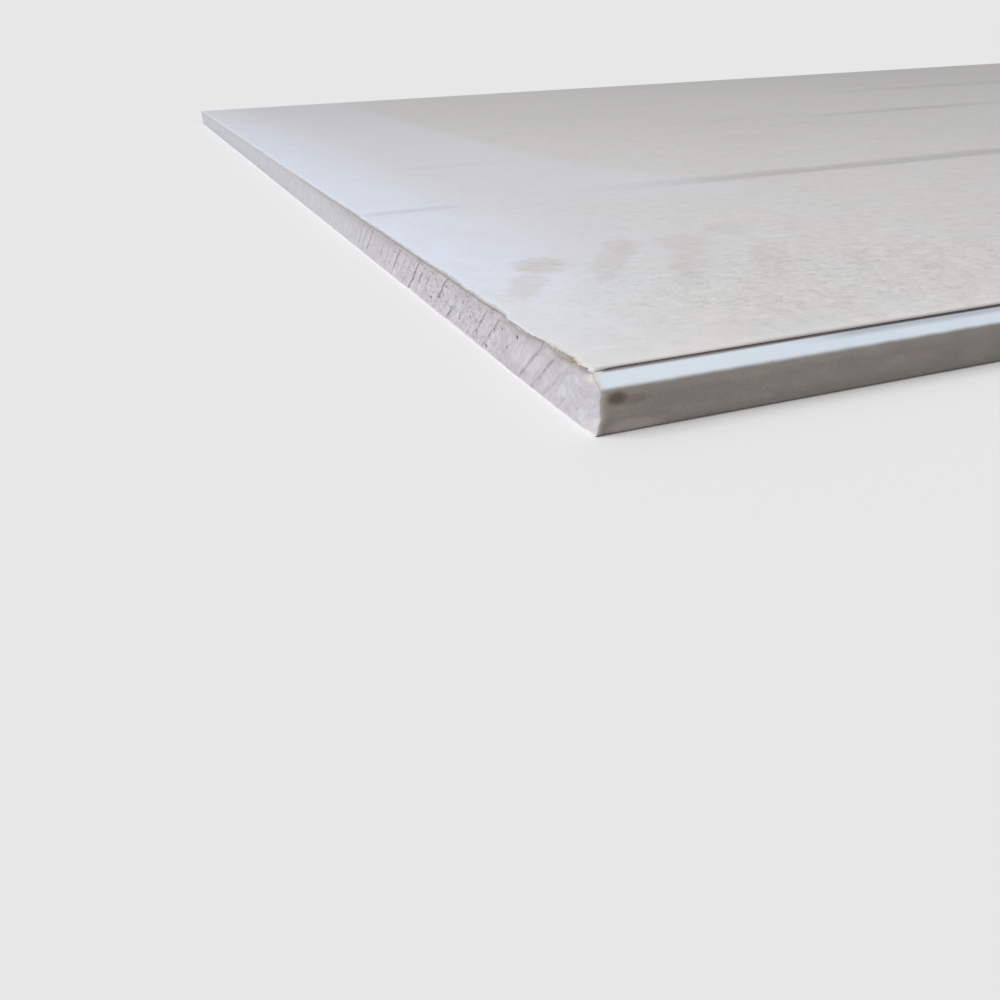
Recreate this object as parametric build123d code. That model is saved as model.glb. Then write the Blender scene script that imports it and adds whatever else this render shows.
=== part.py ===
from build123d import *
import os

# A square-edge plasterboard sheet, lying with its decorating face down and its back up.
# Three layers are bonded into one board. The gypsum core fills it, the face paper wraps
# the face and both long edges and folds on over the back, and the back paper is laid over
# those folds. The two short ends are sawn, so there the layers lie bare and flush.
# X runs along the long edges, Y across the sheet and Z up from the face side.
# Sizes are in millimetres.

# The whole sheet
sheet_length = 1800.0
sheet_width = 900.0
sheet_thickness = 12.5

# The papers
face_paper_thickness = 0.4
back_paper_thickness = 0.4

# The long edges
bevel_height = 3.2  # from the back's surface down to where the edge starts to slope
bevel_depth = 2.0  # how far in from the edge face the slope meets the fold
flap_width = 22.0  # of folded face paper, lying flat from the fold inwards
back_paper_setback = 0.2  # from the fold in to the back paper's edge

# The bends of the face paper, as radii on the core that it wraps
face_arris_radius = 0.5
bevel_arris_radius = 0.6
fold_radius = 0.4

# Levels above the face and distances out from the middle
edge_face = sheet_width / 2
bevel_foot = sheet_thickness - bevel_height
flap_top = sheet_thickness - back_paper_thickness
flap_underside = flap_top - face_paper_thickness
fold_line = edge_face - bevel_depth
flap_end = fold_line - flap_width
back_paper_edge = fold_line - back_paper_setback


def wrapped_section():
    """Everything that the face paper holds, seen along the sheet: paper and core together."""
    corners = [(fold_line, flap_top), (edge_face, bevel_foot), (edge_face, 0)]
    core_radii = [fold_radius, bevel_arris_radius, face_arris_radius]
    radii = [radius + face_paper_thickness for radius in core_radii]
    other_side = [(-across, level) for across, level in reversed(corners)]
    outline = FilletPolyline(*corners, *other_side, radius=radii + radii[::-1], close=True)
    return make_face(outline)


def band(half_width, bottom, top):
    """A flat strip of the section, from -half_width to half_width and from bottom to top."""
    strip = Rectangle(2 * half_width, top - bottom, align=(Align.CENTER, Align.MIN))
    return Pos(0, bottom) * strip


def along_sheet(section):
    """The solid that a section makes when it runs the sheet's whole length."""
    return extrude(Plane.YZ * section, amount=sheet_length / 2, both=True)


def gypsum_core():
    """Fills the wrap, and rises between the two flaps until it is level with them."""
    inside_wrap = offset(wrapped_section(), amount=-face_paper_thickness)
    return inside_wrap + band(flap_end, flap_underside, flap_top)


def face_paper():
    """One thin strip: face, long edges, bevels, and a flap on the back at each side."""
    return wrapped_section() - gypsum_core()


def back_paper():
    """Flat liner over the core and both flaps, cut a little narrower than the sheet."""
    return band(back_paper_edge, flap_top, sheet_thickness)


sections = {
    "gypsum_core": gypsum_core(),
    "face_paper": face_paper(),
    "back_paper": back_paper(),
}

os.makedirs("parts", exist_ok=True)
for name, section in sections.items():
    export_step(along_sheet(section), f"parts/{name}.step")
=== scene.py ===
import math

import bmesh
import bpy
import numpy as np
from mathutils import Matrix, Vector


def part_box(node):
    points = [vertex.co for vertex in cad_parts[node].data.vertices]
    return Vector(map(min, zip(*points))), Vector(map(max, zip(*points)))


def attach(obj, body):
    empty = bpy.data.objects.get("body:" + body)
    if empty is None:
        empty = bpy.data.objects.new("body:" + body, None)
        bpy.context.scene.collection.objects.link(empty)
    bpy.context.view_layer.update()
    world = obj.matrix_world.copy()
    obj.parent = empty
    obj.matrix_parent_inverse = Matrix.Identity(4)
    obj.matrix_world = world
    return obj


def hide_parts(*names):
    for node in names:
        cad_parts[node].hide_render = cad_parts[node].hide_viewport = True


# The looks of a sheet of plasterboard that lies on the floor with its back up.
# Three pieces are remade with the relief that the solids leave out: the gypsum core with its
# sawn ends, the face paper that wraps it, and the back paper with its torn ends. Loose paper
# fibres stand along the torn ends. Shapes are worked out in millimetres and made in metres.
# "along" is the distance from the left sawn end and "across" that from the near long edge.

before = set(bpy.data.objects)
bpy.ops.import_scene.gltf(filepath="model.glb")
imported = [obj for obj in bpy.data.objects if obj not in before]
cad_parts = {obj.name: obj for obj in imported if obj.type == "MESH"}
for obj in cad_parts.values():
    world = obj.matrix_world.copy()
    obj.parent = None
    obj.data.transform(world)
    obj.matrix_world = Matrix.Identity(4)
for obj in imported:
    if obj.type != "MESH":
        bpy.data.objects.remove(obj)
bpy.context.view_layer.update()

MM = 0.001

# Sizes read from the solids
_, paper_high = (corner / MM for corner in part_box("face_paper"))
back_low, back_high = (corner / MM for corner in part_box("back_paper"))
core_low, core_high = (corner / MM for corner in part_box("gypsum_core"))
half_length = paper_high.x
half_width = paper_high.y
length = 2 * half_length
width = 2 * half_width
back_top = back_high.z
flap_top = back_low.z
face_thickness = core_low.z
back_half_width = back_high.y
core_half_width = core_high.y

# The long edge's section, as it was built
bevel_height = 3.2
bevel_depth = 2.0
flap_width = 22.0
face_arris_radius = 0.9
bevel_arris_radius = 1.0
fold_radius = 0.8
bevel_foot = back_top - bevel_height
fold_line = half_width - bevel_depth
flap_end = fold_line - flap_width


# Noise and curves

def lattice(columns, rows, seed):
    """A repeatable random value from 0 to 1 for each pair of whole numbers."""
    mixed = columns.astype(np.int64) * 374761393 + rows.astype(np.int64) * 668265263 + seed * 2147483647
    with np.errstate(over="ignore"):  # too large a product just wraps round
        mixed = (mixed ^ (mixed >> 13)) * 1274126177
    mixed = mixed ^ (mixed >> 16)
    return (mixed & 0xFFFFFF) / float(0xFFFFFF)


def cloud(across, up, seed):
    """Smooth noise from -1 to 1, with features about 1 unit wide."""
    across, up = np.broadcast_arrays(np.asarray(across, float), np.asarray(up, float))
    column, row = np.floor(across), np.floor(up)
    u, v = across - column, up - row
    u, v = u * u * (3 - 2 * u), v * v * (3 - 2 * v)
    near = lattice(column, row, seed) * (1 - u) + lattice(column + 1, row, seed) * u
    far = lattice(column, row + 1, seed) * (1 - u) + lattice(column + 1, row + 1, seed) * u
    return 2 * (near * (1 - v) + far * v) - 1


def layered(across, up, seed, layers=3):
    """Several layers of noise, each twice as fine and half as strong as the last."""
    total = 0
    for layer in range(layers):
        finer = 2.0 ** layer
        total = total + cloud(across * finer, up * finer, seed + layer) / finer
    return total


def ease(value, low, high):
    """0 below low, 1 above high and a smooth step between."""
    share = np.clip((value - low) / (high - low), 0, 1)
    return share * share * (3 - 2 * share)


def curve(points, value):
    """The height at value of a line through a few points, given as (place, height)."""
    places, heights = zip(*points)
    return np.interp(value, places, heights)


def spaced(total, start_step, end_step, widest, growth):
    """Places from 0 to total, closest together at the two ends."""
    places = [0.0]
    while places[-1] < total:
        here = places[-1]
        step = min(start_step + growth * here, end_step + growth * max(total - here, 0), widest)
        places.append(here + step)
    return np.array(places) * total / places[-1]


# How each sawn end is worn

class SawnEnd:
    """One sawn end: how far each layer lies back from the end's outermost plane."""

    def __init__(self, side, seed, top_points, corner_wear, lean, under_paper_shades, saw_marks, bubbles):
        self.side = side
        self.seed = seed
        self.top_points = top_points
        self.corner_wear = corner_wear
        self.lean = lean
        self.under_paper_shades = under_paper_shades
        draw = np.random.default_rng(seed)
        self.marks = self.all_marks(saw_marks, draw)
        self.pores = self.all_pores(bubbles, draw)

    def all_marks(self, saw_marks, draw):
        """Saw marks: where each meets the face side, its depth and the heights between which it
        is sharp. Past the last one that is given, the blade left one about every 6.5 mm."""
        marks = [list(mark) for mark in saw_marks]
        while marks[-1][0] < width + 40:
            place = marks[-1][0] + draw.uniform(5.6, 7.4)
            depth = 0.1 + 0.32 * draw.random() ** 1.5
            marks.append([place, depth, draw.uniform(-2, 5), draw.uniform(7, 14)])
        return np.array(marks).T

    def all_pores(self, bubbles, draw):
        """Air bubbles that the saw opened: across, height and radius."""
        count = 520
        across = 45 + (width - 50) * draw.random(count) ** 1.3
        height = draw.uniform(0.9, 11.4, count)
        radius = 0.1 + 0.34 * draw.random(count) ** 3
        return np.concatenate([np.array(bubbles), np.stack([across, height, radius], 1)])

    def plane(self, across, height):
        """The sawn plane leans a little, so that the face side lies further back."""
        return curve(self.lean, across) * (1 - height / back_top)

    def corner(self, across, height):
        """The two upright arrises are rubbed round."""
        near = np.clip(1 - (across - face_thickness) / 4.6, 0, 1) ** 2.2
        far = np.clip(1 - (width - face_thickness - across) / 3.2, 0, 1) ** 2.2
        worn = curve(self.corner_wear, height)
        return worn * near + 0.35 * worn * far

    def back_edge(self, across):
        """The torn end of the back paper."""
        calm = 0.3 + 0.7 * ease(across, 4, 11)
        ragged = 0.1 * layered(across / 1.3, 0.0, self.seed + 11)
        wavy = 0.1 * layered(across / 22.0, 5.0, self.seed + 12)
        tears = np.maximum(cloud(across / 2.1, 9.0, self.seed + 13) - 0.62, 0) * 0.8
        return np.maximum(curve(self.top_points, across) + 0.12 + wavy + (ragged + tears) * calm, 0)

    def rubbed_width(self, across):
        """How far in from its torn end the back paper is rubbed thin."""
        patches = ease(cloud(across / 7.0, 4.0, self.seed + 14), -0.2, 0.7)
        broad = 0.85 * ease(across, 5, 8) * (1 - ease(across, 19, 26))
        far = 0.75 * ease(across, 38, 50)
        whole = 1 - 0.8 * ease(across, 25, 28) * (1 - ease(across, 42, 46))
        rubbed = 0.8 + 0.5 * patches + broad + far + 0.3 * layered(across / 1.4, 4.0, self.seed + 15)
        return rubbed * whole

    def nibble(self, across, height):
        """Small bites out of the near corner, shared by gypsum and face paper."""
        bites = 0.16 * (1 + cloud(across + height / 1.4, height / 1.7, self.seed + 22))
        return bites * (1 - ease(across, 2.0, 6.0))

    def face_edge(self, across, height):
        """The sawn end of the face paper, over the face, the long edge and the bevel."""
        ragged = 0.04 * (1 + layered(across / 1.1 + height, height / 0.8, self.seed + 21))
        ragged = ragged + self.nibble(np.maximum(across, face_thickness), height)
        plane = self.plane(across, height) + self.corner(np.clip(across, face_thickness, width), height)
        from_middle = np.abs(across - half_width)
        under_back = ease(height, flap_top - 0.6, flap_top) * ease(from_middle, flap_end - 1, flap_end)
        flap = self.back_edge(across) + 0.06
        return np.maximum(plane * (1 - under_back) + flap * under_back + ragged, 0)

    def gypsum(self, across, height, roof):
        """The sawn gypsum: how far back it lies; a value for painted shade in and beside the grooves and
        on crumbs, below 0 for painted highlights on the rims beside them; how deep the pores are; and
        how much painted shade lies beneath the back paper."""
        top_back = self.back_edge(across) + 0.03
        crumbled = 0.7 + 1.0 * top_back + 0.3 * cloud(across / 3.0, 2.0, self.seed + 31)
        chamfer = np.clip((height - (roof - crumbled)) / crumbled, 0, 1) ** 1.7 * top_back
        base = self.plane(across, height) + self.corner(across, height) + self.nibble(across, height)
        base = np.maximum(base, chamfer) + 0.25 * np.minimum(base, chamfer)
        groove, rim_highlight, shingle, groove_shade = self.saw_depth(across, height)
        pore = self.pore_depth(across, height)
        loose = ease(across + 6 * cloud(across / 9.0, height / 5.0, self.seed + 44), 44, 60)
        rough = (0.14 + 0.86 * loose) * (1 - 0.85 * ease(across, 85, 170))
        grain = rough * 0.07 * (1 + layered(across / 0.9, height / 0.9, self.seed + 41))
        lumps = (0.4 + 0.6 * rough) * 0.1 * (1 + layered(across / 3.2, height / 2.4, self.seed + 45))
        swell = 0.1 * (1 + layered(across / 14.0, height / 7.0, self.seed + 42))
        flush = ease(across, face_thickness, 2.5)
        lumps, swell = lumps * flush, swell * flush
        crumbs = rough * 0.45 * np.maximum(layered(across / 1.5, height / 1.5, self.seed + 43) - 0.3, 0)
        back = base + groove + shingle + pore + grain + lumps + swell + crumbs
        return back, groove + groove_shade + 0.6 * crumbs - rim_highlight, pore, self.under_paper_shade(across, height)

    def under_paper_shade(self, across, height):
        """How much painted shade lies on the gypsum beneath the torn paper: most at a level that wanders
        along the end, less and less below it, and in places less above it too."""
        places, *columns = zip(*self.under_paper_shades)
        level, reach, strength, shed = (np.interp(across, places, column) for column in columns)
        level = level + 0.25 * layered(across / 4.0, height / 3.0, self.seed + 46)
        above = shed * ease(height, level + 0.1, level + 0.5)
        return strength * np.exp(-np.maximum(level - height, 0) / reach) * (1 - above)

    def saw_depth(self, across, height):
        """Slanting saw marks. Each band between them sinks slowly towards the back side, then the next
        one stands out again beyond a groove. Near the corner they are softer. Painted highlights on
        the rims and a painted soft shade beside each groove come back with the depths."""
        places, depths, sharp_from, sharp_to = self.marks
        bent = 0.45 * cloud(across / 8.0, height / 4.0, self.seed + 51)
        bent = bent + 0.22 * layered(across / 1.9, height / 1.4, self.seed + 53, 2)
        run = across + (1.28 + 0.0018 * across) * height + bent
        index = np.clip(np.searchsorted(places, run) - 1, 0, len(places) - 2)
        past = np.clip(run - places[index], 0, None)
        band = places[index + 1] - places[index]
        left_over = np.clip(band - past, 0, None)
        broken = 0.4 + 0.6 * ease(layered(run / 6.0, height / 1.5, self.seed + 52), -0.9, 0.5)

        def sharp(number):
            """1 between the heights where that mark is sharp, and 0 elsewhere."""
            low, high = sharp_from[number], sharp_to[number]
            return ease(height, low - 1.0, low + 1.0) * (1 - ease(height, high - 1.0, high + 1.0))

        def cut(number):
            """How deep that mark is at this height."""
            return depths[number] * (0.12 + 0.88 * sharp(number)) * broken

        fading = 1 - 0.7 * ease(across, 150, 270)
        inside = ease(across, 2.0, 9.0) * fading
        crisp = ease(across, 34, 56)
        narrow = 0.48 - 0.18 * crisp
        before = cut(index + 1) * np.exp(-((left_over - 0.45) / narrow) ** 2)
        after = cut(index) * np.exp(-((past + 0.45) / narrow) ** 2)
        groove = (0.6 + 0.5 * crisp) * (before + after)
        rim_highlight = (0.3 + 0.7 * crisp) * cut(index) * np.exp(-((past - 0.42) / 0.34) ** 2)
        depth = depths[index + 1]
        blurred = 1 - sharp(index + 1)
        risen = ease(left_over, 0, 0.9 + 2.1 * blurred)
        shingle = (0.8 - 0.35 * blurred) * depth * np.clip(past / band, 0, 1) ** 0.6 * risen
        blotchiness = 0.6 + 0.4 * cloud(across / 3.0, height / 2.0, self.seed + 54)
        groove_shade = (0.8 - 0.45 * crisp) * (1 + 0.35 * blurred) * depth * blotchiness * np.exp(-(left_over / 1.6) ** 2)
        return groove * inside, rim_highlight * inside, shingle * inside, groove_shade * inside

    def pore_depth(self, across, height):
        """Ragged pits, a little longer along the saw marks."""
        lean, lean_length = 0.87, 1.325
        total = np.zeros(np.broadcast(across, height).shape)
        for place, level, radius in self.pores:
            reach = np.abs(across[:, 0] - place) < 3 * radius + 0.3
            if not reach.any():
                continue
            right = across[reach] - place
            up = height[reach] - level
            along_mark = (right - lean * up) / lean_length
            over_mark = (lean * right + up) / lean_length
            ragged = 1 + 0.35 * cloud(right * 2.2 / radius, up * 2.2 / radius, int(place * 10))
            distance = np.sqrt((along_mark / 1.35) ** 2 + over_mark ** 2) / (radius * ragged)
            total[reach] = np.maximum(total[reach], 1.1 * radius * (1 - ease(distance, 0.4, 1.15)))
        return total


left_end = SawnEnd(
    side=-1,
    seed=7,
    top_points=[(0, 1.3), (3, 0.95), (5, 1), (7, 0.5), (9, 0.55), (10.5, 1.2), (16, 0.9), (20, 1),
                (24, 0.8), (27, 0.1), (29, 0), (42, 0), (46, 0.5), (50, 0.6), (58, 0.3), (62, 0.25),
                (75, 0.35), (95, 0.45), (120, 0.38), (190, 0.35), (260, 0)],
    corner_wear=[(0, 0.35), (1, 0.8), (2.5, 1.25), (4.5, 1.4), (9, 1.5), (12, 1.6)],
    lean=[(0, 0.5), (12, 0.35), (40, 0.2), (900, 0.2)],
    under_paper_shades=[  # across, level, reach below it, strength, how much less above it
        (0, 12, 0.7, 0.15, 0), (3.5, 12, 0.7, 0.25, 0), (5.5, 12, 0.7, 0.65, 0),
        (8, 11.9, 0.7, 0.45, 0), (10, 11.45, 0.42, 0.9, 0), (14, 11.25, 0.48, 1, 0),
        (18, 11.45, 0.5, 0.85, 0.8), (21, 11.6, 0.6, 0.5, 0.8), (24, 12, 0.6, 0.8, 0.2),
        (26.5, 11.75, 0.55, 0.7, 0.2), (29, 11.5, 0.55, 0.85, 0.8), (31, 11.35, 0.55, 0.75, 0.95),
        (36, 11.25, 0.6, 0.7, 0.95), (44, 11.3, 0.55, 0.65, 0.95), (47, 11.9, 0.65, 0.7, 0),
        (120, 12, 0.8, 0.7, 0), (150, 11.9, 1.5, 0.75, 0), (220, 11.9, 1.2, 0.55, 0),
        (350, 11.9, 1, 0.25, 0), (900, 11.9, 1, 0.15, 0),
    ],
    saw_marks=[  # where it meets the face side, depth, the heights between which it is sharp
        (-30, 0.1, 0, 12), (8, 0.05, 3, 8), (17.9, 0.2, 1.5, 4), (25.2, 0.22, 20, 21),
        (31.5, 0.28, 5.5, 10.5), (38.6, 0.28, 0.5, 9.5), (44.6, 0.14, 5.5, 10), (52, 0.16, 3, 7.5),
        (58, 0.1, 2, 6), (63.5, 0.21, 0.5, 10.5), (71.6, 0.26, 0.5, 10), (84.4, 0.32, 3.2, 5.8),
        (91.8, 0.38, 0.8, 5.2), (96.6, 0.14, 1.5, 7.5), (104.5, 0.42, 4.4, 12), (117.2, 0.3, 5.5, 9.5),
    ],
    bubbles=[(37.4, 9.3, 0.52), (44.5, 5.2, 0.3), (67.5, 6.4, 0.3), (70, 5.7, 0.4), (70.3, 4.2, 0.3),
             (79, 3.1, 0.38), (80, 8.5, 0.45), (101.5, 5, 0.4), (107, 7.7, 0.45), (118, 7.2, 0.4),
             (140.5, 9, 0.5), (12.5, 1.4, 0.2), (54, 11.6, 0.35), (69.2, 7.3, 0.22), (66.1, 5.1, 0.2),
             (71.6, 6.9, 0.24), (64, 8.2, 0.18), (58.5, 4, 0.2), (61.6, 7.9, 0.22), (56.2, 6.6, 0.16),
             (74.3, 8.8, 0.26), (77, 6, 0.2), (83.5, 4.4, 0.28), (87, 7.4, 0.22), (49.8, 7.7, 0.16)],
)
right_end = SawnEnd(
    side=1,
    seed=19,
    top_points=[(0, 0.6), (8, 0.1), (140, 0.3), (150, 0.9), (158, 0.2), (520, 0), (700, 0.5), (888, 0.1),
                (900, 1.2)],
    corner_wear=[(0, 0.6), (2, 0.9), (7, 1.1), (12, 0.9)],
    lean=[(0, 0.2), (900, 0.3)],
    under_paper_shades=[(0, 12, 0.75, 0.7, 0), (900, 12, 0.75, 0.7, 0)],
    saw_marks=[(-30, 0.1, 0, 12), (4, 0.2, 2, 9)],
    bubbles=[(22, 6, 0.5), (61, 3.5, 0.4)],
)


# The section of the face paper

def arc(centre, radius, start, end, steps):
    """Points of an arc, each with its inward normal. Angles are in degrees."""
    angles = np.radians(np.linspace(start, end, steps + 1))
    outward = np.stack([np.cos(angles), np.sin(angles)], 1)
    return [(centre + radius * way, -way) for way in outward]


def rounding(before, corner, after, radius, steps):
    """The arc that rounds a corner between two straight runs."""
    back = (before - corner) / np.linalg.norm(before - corner)
    on = (after - corner) / np.linalg.norm(after - corner)
    half_turn = math.acos(np.clip(-back @ on, -1, 1)) / 2
    tangent = radius * math.tan(half_turn)
    middle = (back + on) / np.linalg.norm(back + on)
    centre = corner + middle * radius / math.cos(half_turn)
    first = corner + back * tangent - centre
    last = corner + on * tangent - centre
    start = math.degrees(math.atan2(first[1], first[0]))
    end = math.degrees(math.atan2(last[1], last[0]))
    if end - start > 180:
        end -= 360
    if start - end > 180:
        end += 360
    return arc(centre, radius, start, end, steps)


def straight(first, last, places):
    """Points between the ends of two arcs, at the given shares of the way."""
    start, inward = first
    end = last[0]
    return [(start + (end - start) * share, inward) for share in places]


def side_outline():
    """The far side's half of the paper's outside, from the flap's end down to the face."""
    flap = np.array([flap_end, flap_top])
    fold = np.array([fold_line, flap_top])
    foot = np.array([half_width, bevel_foot])
    toe = np.array([half_width, 0.0])
    middle = np.array([0.0, 0.0])
    fold_arc = rounding(flap, fold, foot, fold_radius, 6)
    foot_arc = rounding(fold, foot, toe, bevel_arris_radius, 6)
    toe_arc = rounding(foot, toe, middle, face_arris_radius, 6)
    down = np.array([0.0, -1.0])
    flap_run = straight((flap, down), fold_arc[0], np.linspace(0, 1, 36, endpoint=False))
    bevel_run = straight(fold_arc[-1], foot_arc[0], np.linspace(0, 1, 7)[1:-1])
    edge_run = straight(foot_arc[-1], toe_arc[0], np.linspace(0, 1, 20)[1:-1])
    return flap_run, fold_arc + bevel_run + foot_arc + edge_run + toe_arc


def wrap_outline():
    """The paper's outside from the near flap's end, round the face, to the far flap's end.
    Returns points, inward normals and which of them get close stations along the sheet."""
    flap_run, edge_part = side_outline()
    face_columns = spaced(width - 2 * face_arris_radius, 0.3, 0.5, 5.0, 0.02)[1:-1]
    face_columns = face_columns - half_width + face_arris_radius
    up = np.array([0.0, 1.0])
    face_run = [(np.array([place, 0.0]), up) for place in face_columns]
    far = flap_run + edge_part
    near = [(point * (-1, 1), inward * (-1, 1)) for point, inward in far]
    whole = near + face_run + far[::-1]
    points = np.array([point for point, _ in whole])
    inward = np.array([way for _, way in whole])
    count = len(whole)
    close = np.zeros(count, bool)
    close[len(flap_run) - 2:len(near) + 3] = True
    close[count - len(near) - 3:count - len(flap_run) + 2] = True
    return points, inward, close


# Meshes from lines of points

def placed(name, data):
    """A new object in the scene."""
    thing = bpy.data.objects.new(name, data)
    bpy.context.scene.collection.objects.link(thing)
    return thing


class Lines:
    """Points, faces and painted values that become one closed mesh."""

    def __init__(self):
        self.points = []
        self.marks = []
        self.faces = []
        self.finish = []
        self.count = 0

    def add(self, along, across, height, worn=0.0, groove=0.0, pore=0.0):
        """Adds a line or block of points and returns their numbers, in the same shape. Any of the
        values may be one number for all the points."""
        values = np.stack(np.broadcast_arrays(along, across, height, worn, groove, pore), -1)
        table = values.reshape(-1, 6).astype(float)
        self.points.append(table[:, :3])
        self.marks.append(table[:, 3:])
        numbers = np.arange(self.count, self.count + len(table)).reshape(values.shape[:-1])
        self.count += len(table)
        return numbers

    def quads(self, block, finish=0):
        """Fills a block of points with quads."""
        corners = [block[:-1, :-1], block[:-1, 1:], block[1:, 1:], block[1:, :-1]]
        quads = np.stack([corner.reshape(-1) for corner in corners], 1)
        self.faces += quads.tolist()
        self.finish += [finish] * len(quads)

    def stitch(self, first, second, axis, finish=0):
        """Fills the gap between two lines that run the same way but may differ in points."""
        if len(first) == len(second):
            self.quads(np.stack([first, second]), finish)
            return
        self.points = [np.concatenate(self.points)]
        a, b = (self.points[0][line, axis] for line in (first, second))
        i = j = 0
        while i < len(first) - 1 or j < len(second) - 1:
            if j == len(second) - 1 or (i < len(first) - 1 and a[i + 1] <= b[j + 1]):
                self.faces.append([int(first[i]), int(first[i + 1]), int(second[j])])
                i += 1
            else:
                self.faces.append([int(first[i]), int(second[j + 1]), int(second[j])])
                j += 1
            self.finish.append(finish)

    def make(self, name, sharp_degrees):
        """The mesh object, in metres, with outward normals."""
        mesh = bpy.data.meshes.new(name)
        mesh.from_pydata((np.concatenate(self.points) * MM).tolist(), [], self.faces)
        mesh.polygons.foreach_set("material_index", self.finish)
        layer = mesh.attributes.new("marks", "FLOAT_VECTOR", "POINT")
        layer.data.foreach_set("vector", np.concatenate(self.marks).astype(np.float32).reshape(-1))
        sides = bmesh.new()
        sides.from_mesh(mesh)
        bmesh.ops.recalc_face_normals(sides, faces=sides.faces)
        sides.to_mesh(mesh)
        sides.free()
        mesh.polygons.foreach_set("use_smooth", [True] * len(mesh.polygons))
        mesh.set_sharp_from_angle(angle=math.radians(sharp_degrees))
        mesh.update()
        return placed(name, mesh)


def shell(lines, outer, inner, side_finish=1):
    """A closed thin skin between two lists of lines, paired one to one. Its inside and its two
    cut ends get the second finish, and the sides beside its first and last lines side_finish."""
    for first, second in zip(outer[:-1], outer[1:]):
        lines.stitch(first, second, 0)
    for first, second in zip(inner[:-1], inner[1:]):
        lines.stitch(first, second, 0, 1)
    lines.stitch(outer[0], inner[0], 0, side_finish)
    lines.stitch(outer[-1], inner[-1], 0, side_finish)
    for end in (0, -1):
        edge_out = np.array([line[end] for line in outer])
        edge_in = np.array([line[end] for line in inner])
        lines.quads(np.stack([edge_out, edge_in]), 1)


# The pieces

def make_core():
    """The gypsum: a relief at each sawn end, and plain hidden sides between them."""
    points, inward, _ = wrap_outline()
    inside = points + inward * face_thickness
    far_side = inside[inside[:, 0] > 0]
    high_part = far_side[far_side[:, 1] > bevel_foot - bevel_arris_radius / 2]
    low_part = far_side[far_side[:, 1] < face_arris_radius + 0.1]
    high_part = high_part[np.argsort(high_part[:, 0], kind="stable")]
    low_part = low_part[np.argsort(low_part[:, 0], kind="stable")]
    lines = Lines()
    ends = []
    left_steps, right_steps = (0.17, 0.7, 1.25, 0.0026), (0.6, 0.6, 1.7, 0.01)
    for end, steps, rows in ((left_end, left_steps, 64), (right_end, right_steps, 18)):
        across = spaced(2 * core_half_width, *steps) + half_width - core_half_width
        lap = half_width - flap_end
        beside_flaps = np.array([lap - 0.01, lap + 0.01, width - lap - 0.01, width - lap + 0.01])
        across = np.sort(np.concatenate([across, beside_flaps]))
        out = np.abs(across - half_width)
        floor = np.interp(out, low_part[:, 0], low_part[:, 1])
        roof = np.where(out > flap_end, np.interp(out, high_part[:, 0], high_part[:, 1]), flap_top)
        share = np.linspace(0, 1, rows)
        height = floor[:, None] + (roof - floor)[:, None] * share[None, :]
        wide = np.broadcast_to(across[:, None], height.shape)
        back, groove, pore, under_paper_shade = end.gypsum(wide, height, roof[:, None])
        along = end.side * (half_length - back)
        block = lines.add(along, wide - half_width, height, under_paper_shade, groove, pore)
        lines.quads(block)
        ends.append(block)
    left, right = ends
    for picked in (0, -1):
        lines.stitch(left[:, picked], right[:, picked], 1)
        lines.stitch(left[picked, :], right[picked, :], 2)
    return lines.make("gypsum_core_sawn", 60)


def end_stations(offsets):
    """Distances from the left end for a line that is only close-set at its two ends."""
    offsets = np.array(offsets)
    return np.concatenate([offsets, (length - offsets)[::-1]])


def worn_line(stations, left_back, right_back):
    """Stations moved inwards near each end, by how far the end lies back there."""
    reach = 9.0  # in from an end
    moved = left_back * (1 - ease(stations, 0, reach))
    moved = moved - right_back * (1 - ease(length - stations, 0, reach))
    return stations + moved - half_length


def make_face_paper():
    """The liner round the face and both long edges, cut at the ends."""
    points, inward, close = wrap_outline()
    across = points[:, 0] + half_width
    left_back = left_end.face_edge(across, points[:, 1])
    right_back = right_end.face_edge(across, points[:, 1])
    many = spaced(length, 0.25, 0.5, 14.0, 0.02)
    few = end_stations([0, 0.2, 0.7, 2.5, 8.0, 40.0])
    lines = Lines()
    outer, inner = [], []
    walked = np.concatenate([[0], np.cumsum(np.linalg.norm(np.diff(points, axis=0), axis=1))])
    for number, (point, way) in enumerate(zip(points, inward)):
        stations = many if close[number] else few
        backs = left_back[number], right_back[number]
        dip = 0.0
        if close[number]:
            level = walked[number] / 5.0
            wave = 0.5 + 0.5 * cloud(stations / 37.0, level, 61)
            ripple = 0.5 + 0.5 * cloud(stations / 6.0, level * 2, 62)
            settle = ease(point[1], 0.0, 1.2) * (1 - ease(point[1], flap_top - 0.4, flap_top))
            dip = (0.07 * wave + 0.03 * ripple) * settle
        wear = np.exp(-np.minimum(stations, length - stations) / 1.2)
        dipped = point[0] + way[0] * dip, point[1] + way[1] * dip
        outer.append(lines.add(worn_line(stations, *backs), *dipped, wear))
        inner.append(lines.add(worn_line(few, *backs), *(point + way * face_thickness)))
    shell(lines, outer, inner)
    return lines.make("face_paper_wrapped", 50)


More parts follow.
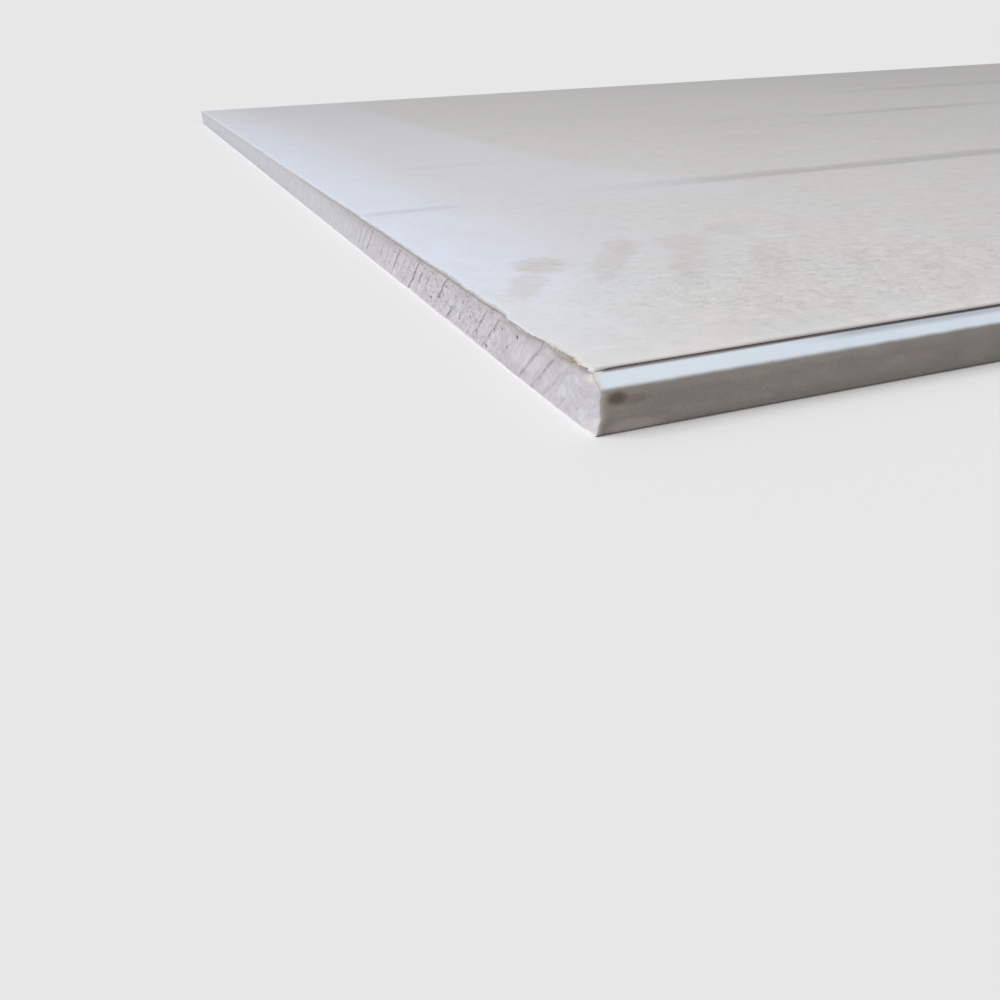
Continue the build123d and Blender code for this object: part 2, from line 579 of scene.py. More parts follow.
def make_back_paper():
    """The flat liner: torn ends that are rubbed thin, and slit long sides."""
    columns = spaced(2 * back_half_width, 0.22, 0.6, 1.4, 0.0034) + half_width - back_half_width
    few = end_stations([0, 0.1, 0.2, 0.3, 0.42, 0.56, 0.72, 0.9, 1.1, 1.35, 1.7, 2.2, 3.5, 9.0, 30.0])
    under = end_stations([0, 0.4, 6.0])
    many = spaced(length, 0.25, 0.5, 14.0, 0.02)
    lines = Lines()
    outer, inner = [], []
    for number, across in enumerate(columns):
        from_side = min(number, len(columns) - 1 - number)
        stations = many if from_side < 3 else few
        backs = left_end.back_edge(across), right_end.back_edge(across)
        from_end = np.minimum(stations, length - stations)
        left_rubbed, right_rubbed = left_end.rubbed_width(across), right_end.rubbed_width(across)
        rubbed = np.where(stations < half_length, left_rubbed, right_rubbed)
        fibre = layered(across / 0.5, from_end / 0.35, 71)
        bare = 1 - ease(from_end / rubbed + 0.22 * fibre, 0.0, 1.0)
        thin = bare * (0.24 + 0.05 * fibre)
        slit = 0.06 * (1 + cloud(stations / 9.0, 3.0, 72)) + 0.28 * ease(stations, 1, 9)
        slit = slit + 0.35 * ease(stations, 25, 55)
        slit = slit + 0.12 * ease(stations, 38, 52) * (1 - ease(stations, 62, 76))
        slit = slit if from_side == 0 else 0.0
        inwards = slit if number == 0 else -slit
        pressed = 1 - ease(stations, 0.9, 4.0)
        sink = np.interp(from_side, (0, 1, 2, 3), (0.07, 0.02, 0, 0))
        sink = sink + np.interp(from_side, (0, 1, 2, 3), (0.25, 0.19, 0.1, 0)) * pressed
        place = across - half_width + inwards
        top = back_top - np.clip(thin, 0, 0.33) - sink
        outer.append(lines.add(worn_line(stations, *backs), place, top, bare))
        lifted = 0.1 if from_side < 2 else 0.0
        level = flap_top + lifted * ease(np.minimum(under, length - under), 0.4, 6.0)
        inner.append(lines.add(worn_line(under, *backs), np.mean(place), level, 1.0))
    shell(lines, outer, inner, side_finish=2)
    return lines.make("back_paper_torn", 50)


def make_fibres():
    """Loose paper fibres along the torn ends: thin tapered threads, rooted in the paper."""
    draw = np.random.default_rng(31)
    lines = Lines()
    rings, sides = 4, 3
    share = np.linspace(0, 1, rings)
    angles = np.linspace(0, 2 * math.pi, sides, endpoint=False)
    for end, count, crowding in ((left_end, 1500, 2.2), (right_end, 600, 1.0)):
        for place in 4.0 + (width - 8.0) * draw.random(count) ** crowding:
            back = float(end.back_edge(place))
            reach = min(draw.uniform(0.15, 0.9), back + 0.1)
            depth = draw.uniform(0.08, 0.38)
            sideways = draw.normal(0, 0.9)
            droop = draw.uniform(-0.05, 0.35)
            radius = draw.uniform(0.01, 0.026)
            bend = draw.normal(0, 0.6)
            along = half_length - back - 0.15 + (reach + 0.12) * share
            along = end.side * np.minimum(along, half_length - radius)
            across = place - half_width + reach * (sideways * share + bend * share ** 2)
            height = np.minimum(back_top - depth - reach * droop * share ** 2, back_top - radius)
            taper = radius * (1 - 0.75 * share)[:, None]
            ring_across = across[:, None] + taper * np.cos(angles)
            ring_height = height[:, None] + taper * np.sin(angles)
            block = lines.add(along[:, None], ring_across, ring_height)
            lines.quads(np.concatenate([block, block[:, :1]], 1))
            lines.faces += [block[0].tolist(), block[-1].tolist()]
            lines.finish += [0, 0]
    return lines.make("torn_fibres", 180)


# Materials

def tone(red, green, blue):
    """A colour as seen on a screen, from 0 to 255, as the linear colour that shaders use."""
    def linear(value):
        share = value / 255
        return share / 12.92 if share <= 0.04045 else ((share + 0.055) / 1.055) ** 2.4
    return (linear(red), linear(green), linear(blue), 1.0)


class Finish:
    """A node material, whose colour is laid on in coats. Most methods add nodes and return their
    output. Places are in millimetres: x from the left sawn end, y from the near long edge and z
    from the face."""

    def __init__(self, name, roughness, specular):
        self.material = bpy.data.materials.new(name)
        self.material.use_nodes = True
        self.nodes = self.material.node_tree.nodes
        self.links = self.material.node_tree.links
        self.shader = self.nodes["Principled BSDF"]
        self.shader.inputs["Roughness"].default_value = roughness
        self.shader.inputs["Specular IOR Level"].default_value = specular
        self.colour = None
        corner = self.nodes.new("ShaderNodeMapping")
        corner.inputs["Location"].default_value = (half_length, half_width, 0)
        corner.inputs["Scale"].default_value = (1 / MM,) * 3
        source = self.nodes.new("ShaderNodeTexCoord")
        self.links.new(source.outputs["Object"], corner.inputs["Vector"])
        self.place = corner.outputs["Vector"]
        self.x, self.y, self.z = self.split(self.place)

    def put(self, socket, value):
        """Feeds a socket from another one, or sets it to a number or a colour. Three numbers are
        a tone."""
        if isinstance(value, bpy.types.NodeSocket):
            self.links.new(value, socket)
        elif isinstance(value, tuple) and len(value) == 3:
            socket.default_value = tone(*value)
        else:
            socket.default_value = value

    def split(self, vector):
        """The three numbers of a vector."""
        parts = self.nodes.new("ShaderNodeSeparateXYZ")
        self.links.new(vector, parts.inputs["Vector"])
        return [parts.outputs[axis] for axis in "XYZ"]

    def calc(self, operation, first, second=0.0):
        """One arithmetic step with two values."""
        node = self.nodes.new("ShaderNodeMath")
        node.operation = operation
        self.put(node.inputs[0], first)
        self.put(node.inputs[1], second)
        return node.outputs[0]

    def product(self, first, *others):
        """The product of a few values."""
        for other in others:
            first = self.calc("MULTIPLY", first, other)
        return first

    def band(self, value, low, high, start=0.0, end=1.0, way="SMOOTHSTEP"):
        """Goes smoothly from start to end while value goes from low to high."""
        node = self.nodes.new("ShaderNodeMapRange")
        node.interpolation_type = way
        self.put(node.inputs["Value"], value)
        for key, number in (("From Min", low), ("From Max", high), ("To Min", start), ("To Max", end)):
            node.inputs[key].default_value = number
        return node.outputs["Result"]

    def fade(self, value, low, high, start=1.0, end=0.0):
        """A band that goes down."""
        return self.band(value, low, high, start, end)

    def stretched(self, scale, turn=(0, 0, 0)):
        """The place, turned by angles in degrees and then divided by a size in each direction."""
        node = self.nodes.new("ShaderNodeMapping")
        node.vector_type = "TEXTURE"
        node.inputs["Rotation"].default_value = tuple(math.radians(angle) for angle in turn)
        node.inputs["Scale"].default_value = scale
        self.links.new(self.place, node.inputs["Vector"])
        return node.outputs["Vector"]

    def noise(self, scale, detail=2.0, rough=0.5, turn=(0, 0, 0), warp=0.0):
        """Noise with features about scale millimetres wide, centred on 0.5."""
        node = self.nodes.new("ShaderNodeTexNoise")
        self.links.new(self.stretched(scale, turn), node.inputs["Vector"])
        settings = {"Scale": 1.0, "Detail": detail, "Roughness": rough, "Distortion": warp}
        for key, number in settings.items():
            node.inputs[key].default_value = number
        return node.outputs["Fac"]

    def spots(self, scale):
        """Distance to the nearest of many scattered points, about scale millimetres apart, and a
        random value for each of them."""
        node = self.nodes.new("ShaderNodeTexVoronoi")
        self.links.new(self.stretched(scale), node.inputs["Vector"])
        node.inputs["Scale"].default_value = 1.0
        return node.outputs["Distance"], node.outputs["Color"]

    def marks(self):
        """The painted marks of the mesh: how worn, or on the gypsum how much painted shade lies beneath
        the torn paper; how deep in a groove, which sets painted shade and highlights; and how deep in a
        pore.
        """
        node = self.nodes.new("ShaderNodeAttribute")
        node.attribute_name = "marks"
        return self.split(node.outputs["Vector"])

    def mix(self, share, first, second, way="MIX"):
        """The first colour where share is 0 and the second where it is 1."""
        node = self.nodes.new("ShaderNodeMix")
        node.data_type = "RGBA"
        node.blend_type = way
        node.clamp_factor = True
        self.put(node.inputs[0], share)
        self.put(node.inputs[6], first)
        self.put(node.inputs[7], second)
        return node.outputs[2]

    def lay(self, shade, *shares):
        """Lays a coat of one tone over the colour, as strong as the product of the shares."""
        self.colour = self.mix(self.product(*shares), self.colour, shade)

    def uneven(self, pattern, above, below, *shares):
        """Lays one tone where a pattern is high and another where it is low. Each is given as its
        range of the pattern, its strength and its tone."""
        low, high, strength, shade = above
        self.lay(shade, self.band(pattern, low, high, 0, strength), *shares)
        low, high, strength, shade = below
        self.lay(shade, self.band(pattern, low, high, strength, 0), *shares)

    def turned(self, degrees, first, second):
        """Two coordinates turned about the corner: along a direction and square to it."""
        cosine, sine = math.cos(math.radians(degrees)), math.sin(math.radians(degrees))
        ahead = self.calc("ADD", self.product(first, cosine), self.product(second, sine))
        aside = self.calc("SUBTRACT", self.product(second, cosine), self.product(first, sine))
        return ahead, aside

    def blot(self, place, centre, radii, soften):
        """A soft oval patch, 1 inside and 0 outside. place is a pair of coordinates."""
        total = 0.0
        for coordinate, middle, radius in zip(place, centre, radii):
            away = self.calc("DIVIDE", self.calc("SUBTRACT", coordinate, middle), radius)
            total = self.calc("ADD", self.product(away, away), total)
        return self.fade(total, 1 - soften, 1 + soften)

    def stray(self, place, size, reach):
        """A coordinate moved about by noise."""
        noise = self.noise((size,) * 3, 3.0, 0.6)
        return self.calc("ADD", place, self.product(self.calc("SUBTRACT", noise, 0.5), reach))

    def fibres(self, size, angles):
        """Fine short fibres that lie in a few directions: noise around 0.5."""
        total = 0.0
        for angle in angles:
            layer = self.noise((size * 3.2, size * 0.55, size), 2.0, 0.6, (0, 0, angle), 0.4)
            total = self.calc("ADD", layer, total)
        return self.calc("DIVIDE", total, float(len(angles)))

    def done(self, *bumps):
        """The material, with its surface raised by each height times its depth in millimetres."""
        normal = self.shader.inputs["Normal"]
        for height, depth in reversed(bumps):
            node = self.nodes.new("ShaderNodeBump")
            node.inputs["Strength"].default_value = 1.0
            node.inputs["Distance"].default_value = depth * MM
            self.put(node.inputs["Height"], height)
            self.links.new(node.outputs["Normal"], normal)
            normal = node.inputs["Normal"]
        self.put(self.shader.inputs["Base Color"], self.colour)
        return self.material


def gypsum_finish():
    """Sawn gypsum: pale and matt, with a grain of fine crumbs, small bubbles and saw streaks."""
    finish = Finish("sawn_gypsum", roughness=0.95, specular=0.15)
    band, fade, noise, product = finish.band, finish.fade, finish.noise, finish.product
    lay, uneven, stray, y, z = finish.lay, finish.uneven, finish.stray, finish.y, finish.z
    slant = (-40, 0, 0)

    # Slow changes of tone along the end
    finish.colour = finish.mix(noise((9, 9, 7), 3, 0.6), (198, 196, 202), (211, 208, 212))
    lay((206, 196, 199), band(noise((16, 14, 8)), 0.52, 0.78, 0, 0.6))
    lay((189, 196, 203), band(y, 150, 700, 0, 0.85))
    uneven(noise((9, 5.5, 3.6), 2, 0.5, slant, 0.4),
           (0.53, 0.68, 0.45, (198, 204, 206)), (0.32, 0.47, 0.45, (207, 197, 208)))
    lay((190, 189, 196), fade(stray(y, 6, 8), 14, 26, 0.55))
    lay((184, 185, 189), band(y, 110, 165, 0, 0.35))

    # Veils, smears and streaks that the blade drew
    sawn = product(band(stray(y, 8, 12), 8, 22, 0.25), fade(y, 150, 260, 1, 0.35))
    uneven(noise((20, 13, 2.1), 3, 0.55, slant, 0.6),
           (0.42, 0.68, 0.34, (172, 165, 171)), (0.26, 0.44, 0.34, (228, 226, 232)), sawn)
    smeared = product(noise((5, 4.2, 3.2), 3, 0.55, warp=0.8), fade(y, 14, 26))
    lay((222, 223, 229), band(smeared, 0.5, 0.66, 0, 0.45))
    blotch = noise((3, 2.6, 1.6), 3, 0.6, slant, 0.5)
    calm = fade(y, 90, 180, 1, 0.5)
    uneven(blotch, (0.5, 0.72, 0.3, (168, 161, 168)), (0.28, 0.46, 0.3, (230, 228, 234)), calm)
    strokes = noise((4, 5, 0.5), 4, 0.65, slant, 0.5)
    lay((158, 151, 158), band(strokes, 0.48, 0.7, 0, 0.2), sawn)

    # Crumbs and small bubbles: specks partly of paler and darker gypsum and partly painted highlight
    # and shade, and painted shade in the bubbles
    grainy = product(band(y, 36, 62, 0.15), fade(y, 90, 180, 1, 0.12))
    uneven(noise((0.55, 0.55, 0.5), 3, 0.7),
           (0.53, 0.72, 0.48, (138, 131, 138)), (0.3, 0.44, 0.4, (243, 241, 244)), grainy)
    distance, pick = finish.spots((1.6, 1.6, 1.2))
    bubble = product(fade(distance, 0.06, 0.16), band(pick, 0.66, 0.72), grainy)
    lay((120, 113, 118), bubble, 0.5)

    # Flour by the corner, painted shade beneath the torn paper's edge, darker tones low down and a
    # few patches
    lay((235, 233, 238), fade(stray(y, 2.5, 3), 1, 7, 0.22))
    lay((172, 162, 162), band(stray(z, 5, 4), 7, 11.5), band(y, 8, 18), fade(y, 32, 60, 1, 0.45),
        fade(y, 140, 260), 0.38)
    lay((170, 168, 173), band(stray(z, 3, 1.2), 9.6, 11.6), fade(y, 8, 16, 0.6), band(y, 2.5, 5, 0.1))
    lay((172, 177, 182), fade(z, 1.5, 6.5, 0.3), band(y, 180, 400))
    lay((184, 180, 185), fade(z, 2.6, 5.2, 0.42), band(y, 18, 26), fade(y, 42, 54))
    here = (stray(y, 2.5, 1.6), stray(z, 2.5, 1.2))
    for centre, radii, soften, strength, shade in (
        ((1.6, 0.8), (4.2, 2.4), 0.9, 0.5, (212, 203, 202)),
        # painted light that lifts the shaded seam beside the face paper
        ((1.2, 11.4), (1.6, 1.5), 0.8, 0.6, (222, 217, 210)),
        ((2.6, 7.7), (3.2, 0.8), 0.9, 0.35, (170, 165, 173)),
    ):
        lay(shade, finish.blot(here, centre, radii, soften), strength)

    # Painted shade in the saw marks and pits, painted highlights on the marks' rims, and painted
    # shade on the gypsum beneath the torn paper
    under_paper_shade, groove, pore = finish.marks()
    lay((130, 120, 126), band(groove, 0.04, 0.4, 0, 0.5))
    lay((240, 237, 240), fade(groove, -0.24, -0.03, 0.7))
    lay((104, 97, 102), band(pore, 0.04, 0.24, 0, 0.75))
    # Painted shade on the gypsum beneath the torn paper, in tones that change along the end
    under_paper_shade_tone = finish.mix(band(y, 6.5, 10), (154, 152, 155), (149, 138, 128))
    under_paper_shade_tone = finish.mix(band(y, 12, 17), under_paper_shade_tone, (144, 138, 137))
    lay(under_paper_shade_tone, under_paper_shade, 0.8)
    finely = product(band(y, 20, 60, 0.35), fade(y, 90, 180, 1, 0.4))
    grit = noise((0.4, 0.4, 0.4), 4, 0.7)
    return finish.done((product(finely, grit), 0.16), (product(finely, strokes), 0.12),
                       (product(blotch, calm), 0.2), (finish.calc("SUBTRACT", 1, bubble), 0.18))


# Marks left on the back, in millimetres
finger_angle = 60  # from the long edge
fingers = [  # middle, half its length, half its width, strength
    ((27, 86), 9, 6.5, 1),
    ((15, 67), 14, 4.5, 0.5),
    ((56, 97), 12, 5.5, 0.95),
    ((43, 78), 18, 4.5, 0.75),
    ((75, 95), 10, 7, 0.95),
    ((63, 71), 26, 4.5, 0.8),
    ((82, 61), 25, 5, 0.85),
    ((97, 105), 9, 7, 0.65),
    ((103, 53), 12, 2.5, 0.7),
    ((115, 36), 7, 4, 0.4),
]
dark_streak = (163, 162, 159)
blue_streak = (184, 190, 204)
white_streak = (228, 231, 238)
streaks = [  # across, half width, where it starts, where it ends, strength, tone
    (198, 12, (70, 190), (290, 470), 0.42, dark_streak),
    (194, 5, (110, 180), (250, 330), 0.22, dark_streak),
    (192, 6, (-2, 8), (34, 44), 0.42, blue_streak),
    (308, 10, (30, 60), (90, 120), 0.2, blue_streak),
    (86, 2, (99, 102), (103, 108), 0.5, white_streak),
    (411, 16, (330, 420), (470, 560), 0.3, dark_streak),
    (596, 30, (480, 600), (700, 850), 0.2, dark_streak),
]


def finger_marks(finish):
    """Where a hand white with gypsum dust was set down beside the corner and the fingers rubbed the dust
    away.
    """
    place = finish.turned(finger_angle, finish.stray(finish.x, 6, 9), finish.stray(finish.y, 5, 9))
    cosine, sine = math.cos(math.radians(finger_angle)), math.sin(math.radians(finger_angle))
    total = 0
    for (across, up), reach, breadth, strength in fingers:
        centre = (across * cosine + up * sine, up * cosine - across * sine)
        mark = finish.blot(place, centre, (reach, breadth), 0.85)
        total = finish.calc("MAXIMUM", total, finish.product(mark, strength))
    rub = finish.noise((3, 3, 5), 4, 0.65)
    return finish.product(total, finish.band(rub, 0.3, 0.58, 0.45))


def dust_and_sheen_back(finish):
    """White gypsum dust on the back along the sawn end, mixed with a painted cool sheen of sky light that is
    strongest close to the end.
    """
    band, fade, product = finish.band, finish.fade, finish.product
    stray, x, y = finish.stray, finish.x, finish.y
    fingered = finger_marks(finish)
    clear = finish.calc("SUBTRACT", 1, fingered)
    shifted = finish.calc("SUBTRACT", stray(x, 20, 14), fade(y, 150, 300, 30))
    shifted = finish.calc("SUBTRACT", shifted, band(y, 550, 800, 0, 16))
    dust_and_sheen_patch = product(fade(shifted, 114, 134, 0.55), band(y, 110, 210))
    spread = stray(x, 26, 34)
    near = product(fade(spread, 10, 130, 0.8), band(y, 20, 110))
    finish.lay((213, 214, 223), finish.calc("MAXIMUM", dust_and_sheen_patch, near), clear)
    # Painted cool sky sheen, mixed into the dust's white
    cool = product(band(y, 5, 90), fade(y, 550, 800, 1, 0.35))
    white = finish.mix(cool, (224, 224, 228), (219, 227, 242))
    powder = finish.noise((16, 24, 20), 4, 0.65)
    closest = product(fade(spread, -10, 60, 0.85), band(powder, 0.3, 0.6, 0.5))
    closest = finish.calc("MAXIMUM", closest, fade(x, -2, 14, 0.85))
    finish.lay(white, closest, clear)
    finish.lay((192, 184, 184), fingered, 0.4)


def torn_tone(finish, flecks):
    """The colour of the back liner's inner plies, where its end is torn and rubbed thin."""
    band, lay, stray, y = finish.band, finish.lay, finish.stray, finish.y
    whole = finish.colour
    patchy = band(finish.noise((1.5, 4, 1), 3, 0.6), 0.34, 0.64)
    finish.colour = finish.mix(patchy, (176, 167, 156), (228, 220, 206))
    lay((138, 129, 118), band(flecks, 0.47, 0.57, 0, 0.35))
    lay((208, 207, 208), finish.fade(y, 6, 8.6, 0.95))
    lay((216, 206, 191), finish.blot((y, finish.z), (9, back_top), (2, 3), 0.8), 0.6)
    lay((196, 192, 188), band(y, 11.5, 14.5, 0, 0.45))
    lay((216, 213, 208), band(stray(y, 3, 3), 15, 18, 0, 0.7))
    lay((176, 175, 176), band(y, 22, 28, 0, 0.8))
    lay((206, 208, 213), band(y, 200, 380, 0, 0.8))
    torn, finish.colour = finish.colour, whole
    return torn


def back_finish():
    """Back liner: grey recycled paper, dusted white beside the sawn end and handled."""
    finish = Finish("back_liner", roughness=0.9, specular=0.2)
    band, fade, noise, product = finish.band, finish.fade, finish.noise, finish.product
    lay, uneven, stray, x, y = finish.lay, finish.uneven, finish.stray, finish.x, finish.y

    # Grey paper, with a mottle that is calmer further back
    finish.colour = finish.mix(noise((60, 45, 40), 3, 0.55), (205, 204, 202), (210, 209, 206))
    lay((187, 184, 182), band(noise((8, 7, 7), 4, 0.62), 0.38, 0.68, 0, 0.2))
    further = finish.calc("ADD", x, product(y, 0.6))
    calm = fade(further, 90, 360, 1, 0.5)
    uneven(noise((4.4, 4, 4), 3, 0.6),
           (0.5, 0.72, 0.34, (178, 175, 172)), (0.28, 0.48, 0.3, (228, 228, 230)), calm)
    uneven(noise((24, 18, 18)),
           (0.52, 0.68, 0.22, (203, 208, 217)), (0.32, 0.48, 0.22, (213, 206, 199)))
    dust_and_sheen_back(finish)

    # Streaks, drag marks and the creamier strip beside the slit
    off_line = stray(y, 40, 7)
    for across, half, start, end, strength, shade in streaks:
        off = finish.calc("ABSOLUTE", finish.calc("SUBTRACT", off_line, across))
        lay(shade, fade(off, 0.2 * half, half, strength), band(x, *start), fade(x, *end))
    shown = finish.calc("SUBTRACT", x, product(y, 1.126))
    beyond = band(stray(shown, 260, 700), 200, 1150)
    drag = noise((170, 30, 20), 3, 0.6)
    lay((172, 167, 162), band(drag, 0.52, 0.75, 0, 0.15), band(x, 60, 260), fade(beyond, 0, 1, 1, 0.5))
    lay((225, 221, 218), fade(stray(y, 8, 8), 1, 13, 0.35), fade(y, width / 2, width / 2 + 1))

    # Fine grain, strongest where it was handled, with fibres and dark specks
    grain = noise((1.9, 1.7, 1.7), 3, 0.6)
    handled = finish.blot((stray(x, 14, 30), stray(y, 14, 30)), (92, 42), (62, 34), 0.9)
    grainy = finish.calc("ADD", product(handled, 0.22), product(calm, 0.07))
    uneven(grain, (0.5, 0.68, 1, (160, 158, 155)), (0.3, 0.46, 1, (231, 231, 231)), grainy)
    flecks = finish.fibres(0.8, (5, 62, 121))
    uneven(flecks, (0.51, 0.66, 0.06, (160, 155, 150)), (0.34, 0.49, 0.06, (230, 229, 229)), calm)
    lay((124, 117, 110), band(noise((1.5, 1.2, 1)), 0.68, 0.8, 0, 0.22))

    # Painted light falloff: darker and warmer further back
    painted_falloff = product(band(further, 60, 560, 1, 0.8, "LINEAR"), band(further, 560, 1250, 1, 0.83, "LINEAR"))
    painted_falloff = finish.mix(beyond, painted_falloff, (0.835, 0.818, 0.792, 1))
    finish.colour = finish.mix(1, finish.colour, painted_falloff, "MULTIPLY")

    # Paler right at the sawn end, painted shade down the slit, and torn
    lay((220, 220, 226), fade(x, 0.8, 3.2, 0.75), band(y, 30, 80))
    inwards = finish.calc("SUBTRACT", y, band(x, 28, 46, 0, 0.38))
    inwards = finish.calc("ADD", inwards, fade(x, 1, 3.5))
    # Painted shade of the gap at the back paper's slit edge
    lay((120, 109, 102), fade(inwards, 2, 4.05, 0.72))
    worn, _, _ = finish.marks()
    lay(torn_tone(finish, flecks), band(worn, 0.1, 0.95, 0, 0.95))
    return finish.done((flecks, 0.01), (grain, 0.028))


def torn_finish(name, light, dark, lowest=None, first=None, patches=()):
    """The broken edge of a paper: thin layers of inner plies. The part right at the bottom, the
    first few millimetres beside the left end and patches across it may have their own tone."""
    finish = Finish(name, roughness=0.95, specular=0.1)
    band, fade, lay = finish.band, finish.fade, finish.lay
    finish.colour = finish.mix(band(finish.noise((2.2, 1.2, 0.09), 3, 0.7), 0.32, 0.68), dark, light)
    if lowest is not None:
        lay(lowest, fade(finish.z, 0.3, 0.7))
    if first is not None:
        lay(first, fade(finish.stray(finish.x, 1.5, 1.5), 1, 4.5))
        # Painted shade in the slit, deeper further along
        lay((92, 88, 88), band(finish.x, 30, 110, 0, 0.5))
    for low, high, shade in patches:
        lay(shade, band(finish.y, low - 1, low + 1), fade(finish.y, high - 1, high + 1, 0.85))
    return finish.done((finish.noise((0.3, 0.25, 0.08), 3, 0.7), 0.08))


def shaded_edge_tone(finish, fine, mottle):
    """The long edge's colour: painted shade that makes the ivory paper grey, with scuffs and a stained spot
    by the corner.
    """
    band, fade, stray, lay = finish.band, finish.fade, finish.stray, finish.lay
    x, z = finish.x, finish.z
    finish.colour = finish.mix(band(mottle, 0.35, 0.7), (141, 134, 129), (152, 145, 139))
    finish.uneven(fine, (0.5, 0.72, 0.4, (118, 110, 104)), (0.28, 0.46, 0.3, (172, 166, 160)),
                  fade(x, 35, 70, 1, 0.6))
    lay((136, 134, 124), band(finish.noise((60, 30, 2.4)), 0.5, 0.7, 0, 0.5))
    # Painted light towards the top of the edge and painted shade towards its bottom
    lay((168, 161, 155), band(z, 6.2, 9.2, 0, 0.45))
    lay((124, 119, 114), fade(z, 0.6, 3, 0.3))
    finish.uneven(finish.noise((9, 8, 3.2)),
                  (0.5, 0.68, 0.4, (148, 134, 129)), (0.32, 0.5, 0.35, (130, 130, 118)))
    from_end = stray(x, 3, 3)
    lay((182, 172, 167), fade(from_end, 1, 4.5, 0.5))
    lay((112, 102, 98), fade(from_end, 3.5, 5.5, 0.45), fade(z, 2, 5))
    lay((112, 112, 102), band(x, 60, 110, 0, 0.3))
    rubbed = finish.blot((stray(x, 4, 5), stray(z, 3, 1.5)), (9, 1.2), (5.5, 1.3), 0.9)
    lay((178, 166, 164), rubbed, 0.6)
    here = (stray(x, 1.6, 1.6), stray(z, 1.6, 1))
    lay((103, 94, 66), finish.blot(here, (8.4, 6.5), (3.4, 0.9), 0.95), 0.32)
    lay((93, 83, 73), finish.blot(here, (5.35, 7.2), (1.95, 1.2), 0.95), 0.88)
    return finish.colour


def bevel_highlight_tone(finish, fine, mottle):
    """The bevel's colour: a painted cool highlight of sky light, and ivory right at the sawn end."""
    band, lay = finish.band, finish.lay
    finish.colour = finish.mix(band(mottle, 0.3, 0.7), (222, 233, 246), (230, 240, 252))
    lay((190, 198, 206), band(fine, 0.55, 0.8, 0, 0.15))
    lay((236, 246, 255), band(finish.x, 14, 50, 0.7, 0.27))
    lay((239, 238, 236), finish.fade(finish.stray(finish.x, 1.5, 3), 1.6, 3.6))
    return finish.colour


def face_finish():
    """Face liner: ivory on the face, with a painted cool highlight on the bevel and painted shade that makes
    the long edge grey.
    """
    finish = Finish("face_liner", roughness=0.8, specular=0.28)
    band, fade, stray, lay = finish.band, finish.fade, finish.stray, finish.lay
    x, y, z = finish.x, finish.y, finish.z
    fine = finish.noise((1, 0.8, 0.8), 4, 0.65)
    mottle = finish.noise((11, 8, 4), 3, 0.6)
    edge = shaded_edge_tone(finish, fine, mottle)
    bevel_highlight = bevel_highlight_tone(finish, fine, mottle)
    ivory = finish.mix(finish.noise((50, 50, 50), 3, 0.55), (220, 215, 203), (229, 225, 214))
    ivory = finish.mix(band(fine, 0.55, 0.75, 0, 0.25), ivory, (190, 184, 170))

    # The inwards distance is from the nearer long edge
    from_middle = finish.calc("ABSOLUTE", finish.calc("SUBTRACT", y, half_width))
    inwards = finish.calc("SUBTRACT", half_width, from_middle)
    on_face = finish.product(fade(z, 0.02, 0.3), band(inwards, 0.5, 3))
    finish.colour = finish.mix(on_face, edge, ivory)
    lay(bevel_highlight, band(stray(z, 5, 0.5), bevel_foot - 0.65, bevel_foot + 0.45))
    # Painted shade that widens the slit's dark line onto the bevel
    lay((128, 126, 128), band(inwards, 1.05, 1.8, 0, 0.45), band(x, 42, 62), band(z, 10.2, 11))
    # Gum at the fold, darkened further as painted shade of the gap under the back paper's edge
    gum_and_slit_shade = finish.mix(band(x, 20, 100), (149, 140, 139), (92, 91, 93))
    within = finish.calc("SUBTRACT", inwards, band(x, 25, 75, 0, 0.15))
    lay(gum_and_slit_shade, band(within, 1.75, 2.06), band(z, 11.5, 11.9), band(stray(x, 1.5, 1.5), 1.6, 4.4))
    worn, _, _ = finish.marks()
    lay((214, 206, 201), band(worn, 0.25, 1, 0, 0.55))
    return finish.done((fine, 0.05), (mottle, 0.08))


core = make_core()
face = make_face_paper()
back = make_back_paper()
fibres = make_fibres()

core.data.materials.append(gypsum_finish())
face.data.materials.append(face_finish())
face.data.materials.append(torn_finish(
    "face_liner_cut", (216, 210, 208), (184, 176, 172), lowest=(236, 234, 236)))
back.data.materials.append(back_finish())
back.data.materials.append(torn_finish(
    "back_liner_cut", (184, 181, 179), (152, 149, 148),
    patches=[(-2, 4, (206, 205, 206)), (4, 8, (186, 185, 186)), (8, 16, (156, 147, 132)),
             (16, 22.5, (213, 208, 201)), (330, 910, (196, 197, 201))],
))
back.data.materials.append(torn_finish(
    "back_liner_slit", (196, 182, 178), (166, 153, 150), first=(218, 215, 213)))
fibres.data.materials.append(torn_finish(
    "loose_fibres", (218, 211, 196), (170, 160, 142), patches=[(-2, 8, (208, 207, 208))]))

for piece, node, slot in (
    (core, "gypsum_core", "gypsum"),
    (face, "face_paper", "face_liner"),
    (back, "back_paper", "back_liner"),
):
    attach(piece, "root")
    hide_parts(node)
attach(fibres, "root")


# Floor, light and camera

floor_tone = tone(231, 231, 231)
room_level = 0.45  # of the light that falls on the floor
lamp_level = 0.55
lamp_way = Vector((-0.62, 0.05, 0.78))
lamp_spread = 50.0  # degrees across
focal_length = 0.9141  # in picture widths


def make_floor():
    """A plain pale floor, wide enough for every view."""
    size = 30.0
    mesh = bpy.data.meshes.new("floor")
    corners = [(-size, -size, 0), (size, -size, 0), (size, size, 0), (-size, size, 0)]
    mesh.from_pydata(corners, [], [(0, 1, 2, 3)])
    finish = Finish("floor_paint", roughness=1.0, specular=0.0)
    finish.colour = floor_tone
    mesh.materials.append(finish.done())
    placed("floor", mesh)


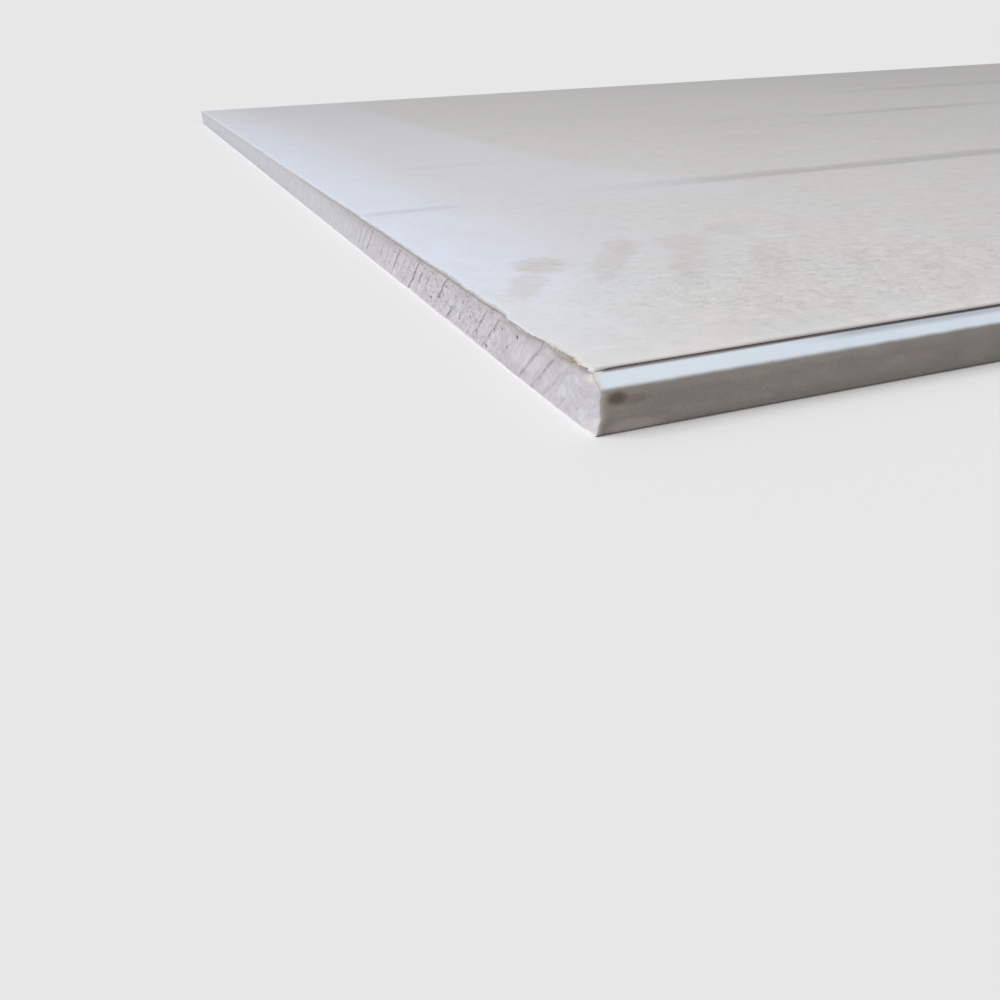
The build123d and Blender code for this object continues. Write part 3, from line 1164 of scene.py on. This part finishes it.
def make_light():
    """A pale room all round, and one very soft distant lamp above the left end. The camera sees
    the room in the floor's own tone, so that no horizon shows."""
    world = bpy.data.worlds.new("room")
    world.use_nodes = True
    nodes = world.node_tree.nodes
    room = nodes["Background"]
    seen = nodes.new("ShaderNodeBackground")
    for shader, colour, strength in ((room, tone(255, 255, 255), room_level), (seen, floor_tone, 1.0)):
        shader.inputs["Color"].default_value = colour
        shader.inputs["Strength"].default_value = strength
    path = nodes.new("ShaderNodeLightPath")
    shown = nodes.new("ShaderNodeMath")
    shown.operation = "MAXIMUM"
    either = nodes.new("ShaderNodeMixShader")
    for source, target in (
        (path.outputs["Is Camera Ray"], shown.inputs[0]),
        (path.outputs["Is Glossy Ray"], shown.inputs[1]),
        (shown.outputs[0], either.inputs[0]),
        (room.outputs[0], either.inputs[1]),
        (seen.outputs[0], either.inputs[2]),
        (either.outputs[0], nodes["World Output"].inputs["Surface"]),
    ):
        world.node_tree.links.new(source, target)
    bpy.context.scene.world = world
    lamp = bpy.data.lights.new("key_lamp", "SUN")
    lamp.angle = math.radians(lamp_spread)
    lamp.energy = lamp_level * math.pi / lamp_way.normalized().z
    holder = placed("key_lamp", lamp)
    holder.rotation_mode = "QUATERNION"
    holder.rotation_quaternion = lamp_way.to_track_quat("Z", "Y")


def make_camera():
    """Close to the near left corner, looking down along the sheet, about 2 degrees off level."""
    turn = math.radians(19.68)
    down = math.radians(26.81)
    roll = math.radians(-2.31)
    corner = Vector((half_length, half_width, 0))
    place = (Vector((-69.4, -142.3, 67.5)) - corner) * MM
    camera = bpy.data.cameras.new("camera")
    camera.sensor_width = 36.0
    camera.lens = focal_length * camera.sensor_width
    camera.clip_start = 0.005
    aim = Matrix.Rotation(-turn, 4, "Z") @ Matrix.Rotation(math.pi / 2 - down, 4, "X")
    holder = placed("camera", camera)
    holder.matrix_world = Matrix.Translation(place) @ aim @ Matrix.Rotation(roll, 4, "Z")
    bpy.context.scene.camera = holder


make_floor()
make_light()
make_camera()
bpy.context.scene.view_settings.view_transform = "Standard"
